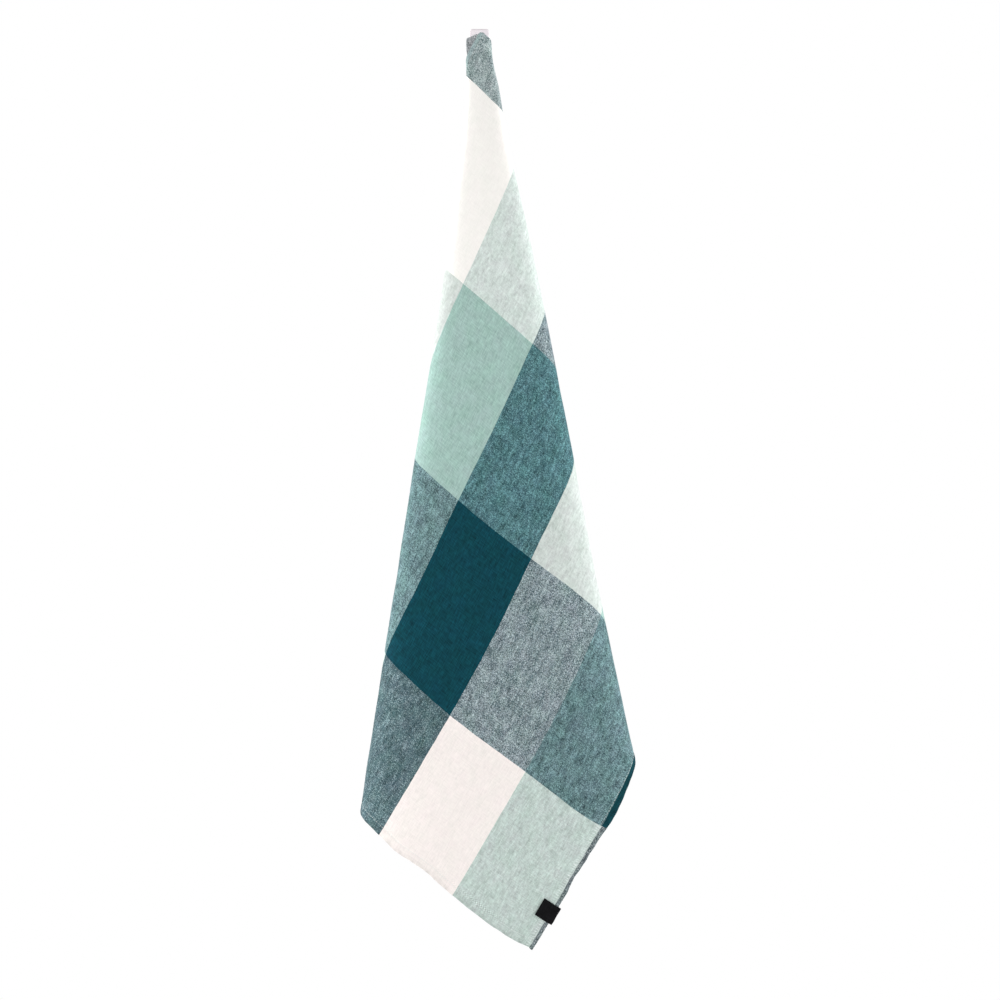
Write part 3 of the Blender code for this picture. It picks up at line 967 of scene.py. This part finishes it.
def peg_rings():
    """Centre, radius and slope of each ring of the peg, from the wall to its round end."""
    route = smooth_route(PEG_ROUTE, PEG_STEPS)
    path = np.column_stack((np.full(len(route), CORNER.x), route[:, 0], CORNER.z + route[:, 1]))
    way = unit(np.gradient(path, axis=0))
    flare = bell(lengths_along(path) - PEG_FLARE_PLACE, PEG_FLARE_SIZE)
    radii = PEG_RADIUS * (1.0 + PEG_FLARE * flare)
    rings = list(zip(path, radii, np.arctan2(way[:, 2], -way[:, 1])))
    end, radius, slope = rings[-1]
    for ring in range(1, PEG_CAP_RINGS + 1):
        angle = PEG_CAP_ANGLE * ring / PEG_CAP_RINGS
        centre = end + radius * math.sin(angle) * way[-1]
        rings.append((centre, radius * math.cos(angle), slope))
    return rings


def build_peg():
    """Peg drawn out of one round face, extruded, turned and resized ring by ring."""
    rings = peg_rings()
    centre, radius, slope = rings[0]
    peg = new_primitive(
        bpy.ops.mesh.primitive_circle_add, "hook_peg", vertices=PEG_SIDES, radius=radius,
        fill_type="NGON", location=centre, rotation=(math.radians(90.0), 0.0, 0.0))
    settle(peg)
    select_parts(peg, "FACE", lambda face: True)
    for next_centre, next_radius, next_slope in rings[1:]:
        bpy.ops.mesh.extrude_region_move(
            TRANSFORM_OT_translate={"value": Vector(next_centre - centre)})
        bpy.ops.transform.rotate(
            value=next_slope - slope, orient_axis="X", center_override=Vector(next_centre))
        bpy.ops.transform.resize(
            value=(next_radius / radius,) * 3, center_override=Vector(next_centre))
        centre, radius, slope = next_centre, next_radius, next_slope
    set_mode("OBJECT")
    return face_outwards(peg)


# ---- shader nodes ----

def new_group(name, inputs, outputs):
    """Empty shader node group with its sockets, and its input and output nodes."""
    group = bpy.data.node_groups.new(name, "ShaderNodeTree")
    for label, kind, value in inputs:
        socket = group.interface.new_socket(label, in_out="INPUT", socket_type=kind)
        if value is not None:
            socket.default_value = value
    for label, kind in outputs:
        group.interface.new_socket(label, in_out="OUTPUT", socket_type=kind)
    return group, group.nodes.new("NodeGroupInput"), group.nodes.new("NodeGroupOutput")


class Nodes:
    """Short calls that add and link nodes in one tree."""

    def __init__(self, tree):
        self.tree = tree

    def add(self, kind, values=None, **settings):
        """Adds a node, sets it, and feeds its inputs by their names or numbers."""
        node = self.tree.nodes.new(kind)
        for name, value in settings.items():
            setattr(node, name, value)
        for name, value in (values or {}).items():
            if isinstance(value, bpy.types.NodeSocket):
                self.link(value, node.inputs[name])
            else:
                node.inputs[name].default_value = value
        return node

    def link(self, source, target):
        self.tree.links.new(source, target)

    def math(self, operation, *values, clamp=False):
        return self.add("ShaderNodeMath", dict(enumerate(values)), operation=operation,
                        use_clamp=clamp).outputs[0]

    def plus(self, first, second, clamp=False):
        return self.math("ADD", first, second, clamp=clamp)

    def less(self, first, second, clamp=False):
        return self.math("SUBTRACT", first, second, clamp=clamp)

    def times(self, first, second, clamp=False):
        return self.math("MULTIPLY", first, second, clamp=clamp)

    def vector_math(self, operation, first, second):
        second_input = "Scale" if operation == "SCALE" else 1
        return self.add("ShaderNodeVectorMath", {0: first, second_input: second},
                        operation=operation).outputs[0]

    def parts(self, vector):
        return self.add("ShaderNodeSeparateXYZ", {0: vector}).outputs

    def green(self, colour):
        """Green of a colour, which stands for how light it is."""
        return self.add("ShaderNodeSeparateColor", {0: colour}).outputs["Green"]

    def pattern(self, vector, name):
        """The noises of one pattern, each about 0 and times its strength, added up."""
        total = 0.0
        for strength, scale, detail, roughness, shift in PATTERNS[name]:
            place = self.add("ShaderNodeMapping", {
                "Vector": vector, "Scale": (*scale, 0.0)[:3], "Location": (*shift, 0.0)})
            wave = self.add("ShaderNodeTexNoise", {
                "Vector": place.outputs[0], "Scale": 1.0, "Detail": detail,
                "Roughness": roughness})
            level = self.less(wave.outputs["Fac"], 0.5)
            total = self.plus(total, self.times(level, strength))
        return total

    def mix(self, share, first, second, blend="MIX"):
        return self.add("ShaderNodeMix", {0: share, 6: first, 7: second}, data_type="RGBA",
                        blend_type=blend, clamp_factor=True).outputs[2]

    def bands(self, place, starts, colours):
        """Plain bands of colour across a surface, each from its own place on."""
        colour = colours[0]
        for start, following in zip(starts[1:], colours[1:]):
            colour = self.mix(self.math("GREATER_THAN", place, start), colour, following)
        return colour

    def ribs(self, first, second, turn):
        """Waves along two places, times each other."""
        return self.times(*(self.math("SINE", self.times(place, turn))
                            for place in (first, second)))

    def near_line(self, place, line, reach):
        """1 on a line across the surface, falling to 0 at a distance from it."""
        gap = self.math("ABSOLUTE", self.less(place, line))
        return self.less(1.0, self.math("DIVIDE", gap, reach), clamp=True)

    def bump(self, surface, height, distance, strength=1.0):
        relief = self.add("ShaderNodeBump", {
            "Strength": strength, "Distance": distance, "Height": height})
        self.link(relief.outputs["Normal"], surface.inputs["Normal"])


def weave_group():
    """Plain weave: which thread lies on top, its colour, its relief and its mottling."""
    group, entry, leave = new_group(
        "Plain Weave",
        (("Vector", "NodeSocketVector", None),
         ("Long Colour", "NodeSocketColor", (0.8, 0.8, 0.8, 1.0)),
         ("Cross Colour", "NodeSocketColor", (0.8, 0.8, 0.8, 1.0)),
         ("Long Share", "NodeSocketFloat", 0.5),
         ("Pitch", "NodeSocketFloat", THREAD_PITCH),
         ("Mottle", "NodeSocketFloat", 1.0),
         ("Hairs", "NodeSocketFloat", 0.0)),
        (("Color", "NodeSocketColor"), ("Height", "NodeSocketFloat")))
    n = Nodes(group)
    vector, long, cross, long_share, pitch, mottle, hairs = entry.outputs[:7]
    across, along, _ = n.parts(vector)
    across = n.plus(across, n.pattern(vector, "thread sway"))
    along = n.plus(along, n.pattern(vector, "thread lift"))
    over = n.ribs(across, along, n.math("DIVIDE", math.pi, pitch))
    n.link(n.math("ABSOLUTE", over), leave.inputs["Height"])

    slub = n.times(n.pattern(vector, "slubs"), mottle)
    slub = n.plus(slub, n.times(n.pattern(vector, "pale hairs"), hairs))
    share = n.plus(long_share, n.times(over, CROSSING_SHARE))
    share = n.plus(share, slub, clamp=True)
    root = n.vector_math("POWER", n.vector_math("MULTIPLY", cross, long), (0.5, 0.5, 0.5))
    glow = n.plus(n.times(hairs, PALE_GLOW), THREAD_GLOW)

    # Where pale and dark yarn meet, loose fibres grey the dark one
    gap = n.green(n.mix(1.0, cross, long, "DIFFERENCE"))
    lint = n.times(gap, n.less(1.0, gap))
    fibres = n.vector_math("SCALE", LINT_COLOUR, lint)

    def woven_at(share):
        colour = n.mix(glow, n.mix(share, cross, long), root)
        return n.vector_math("ADD", colour, fibres)

    # The fibres carry one tint over the whole check, so its threads differ mostly in tone
    woven = woven_at(share)
    even = woven_at(n.plus(n.times(n.less(long_share, 0.5), EVEN_SHARE), 0.5))
    ratio = n.math("DIVIDE", n.green(woven), n.green(even))
    woven = n.mix(FIBRE_TINT, woven, n.vector_math("SCALE", even, ratio))

    # Dyed yarn varies along its length, and bleached yarn hardly at all.  Mixed and mint
    # checks have less of that, and more of the curls of loose fibre.
    level = n.green(woven)
    minty = n.times(n.less(MINT_LEVEL, level), MINT_CONTRAST, clamp=True)
    minty = n.times(minty, hairs)
    mixed = n.times(n.plus(n.times(hairs, PALE_CURLS), MIXED_CURLS), lint)
    mixed = n.math("MAXIMUM", mixed, n.times(minty, MINT_CURLS))
    calm = n.less(1.0, n.plus(n.times(hairs, THREAD_CALM), n.times(minty, THREAD_CALM)))
    tone = n.times(n.pattern(vector, "yarn tones"), calm)
    tone = n.plus(tone, n.times(n.pattern(vector, "fibre curls"), mixed))
    shade = n.plus(n.times(tone, n.less(BLEACHED_LEVEL, level)), 1.0)
    n.link(n.vector_math("SCALE", woven, shade), leave.inputs["Color"])
    return group


# ---- materials ----

def new_material(name, values):
    """Material, its nodes, and its Principled BSDF with constants set on its sockets."""
    material = bpy.data.materials.new(name)
    material.use_nodes = True
    surface = material.node_tree.nodes["Principled BSDF"]
    for label, value in values.items():
        surface.inputs[label].default_value = value
    return material, Nodes(material.node_tree), surface


def cloth_material(name, roughness, sheen):
    """Matt cloth, and a node for the flat cloth's places."""
    material, n, surface = new_material(name, {
        "Roughness": roughness, "Sheen Weight": sheen, "Sheen Roughness": 0.55,
        "Specular IOR Level": 0.03})
    return material, n, surface, n.add("ShaderNodeUVMap", uv_map="flat_cloth").outputs["UV"]


def add_weave(n, surface, relief, values):
    """Adds the weave and its relief, as distance and strength, and gives its colour."""
    threads = n.add("ShaderNodeGroup", values, node_tree=WEAVE)
    n.bump(surface, threads.outputs["Height"], *relief)
    return threads.outputs["Color"]


def woven_material(name, roughness, sheen, relief, values):
    """Cloth of one pair of yarns all over, for the label and the tape."""
    material, n, surface, flat = cloth_material(name, roughness, sheen)
    n.link(add_weave(n, surface, relief, {"Vector": flat, **values}),
           surface.inputs["Base Color"])
    return material


def sewn_ticks(n, a, b, flat):
    """Fine light threads across the right hem's seam, here and there."""
    wave = n.math("SINE", n.plus(n.times(b, RIB_TURN), n.pattern(flat, "tick wander")))
    patch = n.plus(n.pattern(flat, "tick patches"), 0.6, clamp=True)
    patch = n.times(patch, n.math("GREATER_THAN", b, CROSS_STRIPES[-1][0]))
    wave = n.times(n.less(wave, 0.1, clamp=True), patch)
    return n.times(wave, n.near_line(a, TICK_PLACE, TICK_REACH))


def painted_hem_shading(n, a, b, flat):
    """Painted light and shade of ribs that sewing pressed into the bottom hem, and painted shade
    in spots along its edge.
    """
    # The ribs' light and shade, painted into the colour as lighter and darker rows
    patch = n.plus(n.pattern(flat, "hatch patches"),
                   n.near_line(a, HATCH_MIDDLE, HATCH_SPREAD), clamp=True)
    band = n.times(n.near_line(b, HATCH_PLACE, HATCH_REACH), HATCH_STRENGTH)
    hatch = n.times(n.times(n.ribs(a, b, RIB_TURN), patch), band)
    # Painted shade in spots along the bottom edge
    spots = n.plus(n.pattern(flat, "edge_shade spots"), 0.35, clamp=True)
    edge_shade = n.times(spots, n.near_line(b, TOWEL_LENGTH, EDGE_SHADE_REACH))
    return n.less(hatch, n.times(edge_shade, EDGE_SHADE_STRENGTH))


def linen_material():
    material, n, surface, flat = cloth_material("checked_linen", 0.92, 0.07)
    place_a, place_b, _ = n.parts(flat)
    edge_sway = n.pattern(flat, "check edges")
    a, b = n.plus(place_a, edge_sway), n.plus(place_b, edge_sway)
    long_starts, long_names = zip(*LONG_STRIPES)
    cross_starts, cross_names = zip(*CROSS_STRIPES)

    def yarn(name):
        return (*YARN_COLOURS[name], 1.0)

    def checks(colour_at):
        """Bands both ways, each check with its own colour from its row and column."""
        rows = [[(*colour_at(row, column), 1.0) for column in range(len(long_starts))]
                for row in range(len(cross_starts))]
        return n.bands(b, cross_starts, [n.bands(a, long_starts, row) for row in rows])

    long_colour = n.bands(a, long_starts, [yarn(name) for name in long_names])
    cross_colour = n.bands(b, cross_starts, [yarn(name) for name in cross_names])
    share = checks(lambda row, column: (LONG_SHARES[row][column],) * 3)
    # Painted shade and tint of whole checks
    check_shade_and_tint = checks(lambda row, column: CHECK_SHADE_AND_TINT.get((row, column), PLAIN_TONE))

    # Where both yarns are pale, long hairs show rather than short slubs
    pale = n.less(n.green(n.mix(share, cross_colour, long_colour)), PALE_LEVEL)
    pale = n.times(pale, PALE_CONTRAST, clamp=True)
    colour = add_weave(n, surface, (0.00012, 0.6), {
        "Vector": flat, "Long Colour": long_colour, "Cross Colour": cross_colour,
        "Long Share": share, "Mottle": n.less(1.0, n.times(pale, PALE_CALM)), "Hairs": pale})

    # Tone and tint drift over the cloth, less where it is pale
    room = n.less(1.0, n.green(colour))
    lit = n.plus(n.times(n.pattern(flat, "cloth tones"), room), 1.0)
    # Painted light and shade of the bottom hem's ribs and edge
    lit = n.plus(lit, painted_hem_shading(n, place_a, place_b, flat))
    drift = n.times(n.pattern(flat, "dye lots"), room)
    tint = n.add("ShaderNodeCombineXYZ", {
        channel: n.plus(lit, n.times(drift, strength))
        for channel, strength in enumerate(DYE_DRIFT)})
    dyed = n.vector_math("MULTIPLY", colour, check_shade_and_tint)
    dyed = n.vector_math("MULTIPLY", dyed, tint.outputs[0])
    ticks = sewn_ticks(n, place_a, place_b, flat)
    n.link(n.mix(ticks, dyed, (*TICK_COLOUR, 1.0)), surface.inputs["Base Color"])
    return material


def thread_material():
    material, n, surface = new_material(
        "sewing_thread", {"Roughness": 0.7, "Sheen Weight": 0.2})
    place = n.add("ShaderNodeTexCoord").outputs["Object"]
    twist = n.pattern(place, "thread twist")
    tone = n.plus(n.times(twist, 1.2), 0.5, clamp=True)
    n.link(n.mix(tone, (0.62, 0.68, 0.67, 1.0), (0.80, 0.83, 0.82, 1.0)),
           surface.inputs["Base Color"])
    n.bump(surface, twist, 0.00008)
    return material


def plastic_material():
    """Smooth off-white plastic, with painted shade along its top and left rims."""
    material, n, surface = new_material("white_plastic", {"IOR": 1.49})
    place = n.add("ShaderNodeTexCoord").outputs["Object"]
    x, _, z = n.parts(place)
    grain = n.pattern(place, "plastic grain")
    tone = n.plus(n.pattern(place, "plastic cloud"), 0.5, clamp=True)
    paint = n.mix(tone, (0.91, 0.84, 0.88, 1.0), (0.98, 0.91, 0.95, 1.0))
    # Painted shade: the top and left rims darkened towards grey, standing in for their shading
    top = n.near_line(z, 0.5 * PLATE_HEIGHT - 0.0007, RIM_SHADE_REACH)
    left = n.near_line(x, -0.5 * PLATE_WIDTH + 0.0006, RIM_SHADE_REACH)
    rim_shade = n.times(n.math("MAXIMUM", top, left), RIM_SHADE_STRENGTH)
    n.link(n.mix(rim_shade, paint, (0.62, 0.55, 0.58, 1.0)), surface.inputs["Base Color"])
    n.link(n.plus(n.times(grain, 0.25), 0.34), surface.inputs["Roughness"])
    n.bump(surface, grain, 0.00004, 0.5)
    return material


# ---- stage ----

def build_camera():
    camera = add_object("camera", bpy.data.cameras.new("camera"))
    camera.location = VIEW_CENTRE - Vector((0.0, CAMERA_DISTANCE, 0.0))
    camera.rotation_euler = (math.radians(90.0), 0.0, 0.0)
    camera.data.sensor_width = SENSOR_WIDTH
    camera.data.lens = SENSOR_WIDTH * CAMERA_DISTANCE / VIEW_WIDTH
    camera.data.clip_end = 100.0
    bpy.context.scene.camera = camera


def build_lights():
    """A soft white surrounding, brighter to the camera, and a large lamp at each side."""
    world = bpy.data.worlds.new("studio")
    world.use_nodes = True
    bpy.context.scene.world = world
    n = Nodes(world.node_tree)
    glow = world.node_tree.nodes["Background"]
    backdrop = n.add("ShaderNodeBackground")
    for background, strength in ((glow, GLOW_STRENGTH), (backdrop, 1.0)):
        background.inputs["Strength"].default_value = strength
        background.inputs["Color"].default_value = (1.0, 1.0, 1.0, 1.0)
    seen = n.add("ShaderNodeLightPath").outputs["Is Camera Ray"]
    both = n.add("ShaderNodeMixShader", {0: seen, 1: glow.outputs[0], 2: backdrop.outputs[0]})
    n.link(both.outputs[0], world.node_tree.nodes["World Output"].inputs["Surface"])
    for name, side, power in LAMPS:
        lamp = bpy.data.lights.new(name, "AREA")
        lamp.shape = "RECTANGLE"
        lamp.size, lamp.size_y = LAMP_SIZE
        lamp.energy = power
        light = add_object(name, lamp)
        light.location = (side * 1.7, -0.35, -0.35)
        aim = LAMP_AIM - light.location
        light.rotation_euler = aim.to_track_quat("-Z", "Y").to_euler()


def build_floor():
    floor = new_primitive(
        bpy.ops.mesh.primitive_plane_add, "floor", size=6.0, location=(0.0, -0.5, -1.45))
    material, _, _ = new_material(
        "pale_floor", {"Base Color": (0.86, 0.86, 0.85, 1.0), "Roughness": 0.9})
    floor.data.materials.append(material)


def dress(piece, material, slot, *nodes):
    """Gives a piece its finish and its body, and hides the CAD nodes that it stands for."""
    piece.data.materials.clear()
    piece.data.materials.append(material)
    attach(piece, "root")
    if nodes:
        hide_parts(*nodes)


build_camera()
build_lights()
build_floor()
bpy.context.scene.view_settings.view_transform = "Standard"

WEAVE = weave_group()
LINEN = linen_material()
towel = build_towel()
stitches = build_stitches()
label = build_label()
loop = build_loop()
hook = build_hook()

dress(towel, LINEN, "checked_linen", "towel_cloth")
dress(stitches, thread_material(), "checked_linen")
dress(label, woven_material("black_label", 0.62, 0.05, (0.00006, 0.7), LABEL_WEAVE),
      "black_label", "side_label")
dress(loop, woven_material("loop_tape", 0.9, 0.25, (0.00012, 0.7), TAPE_WEAVE),
      "loop_tape", "hanging_loop")
dress(hook, plastic_material(), "white_plastic", "wall_hook")
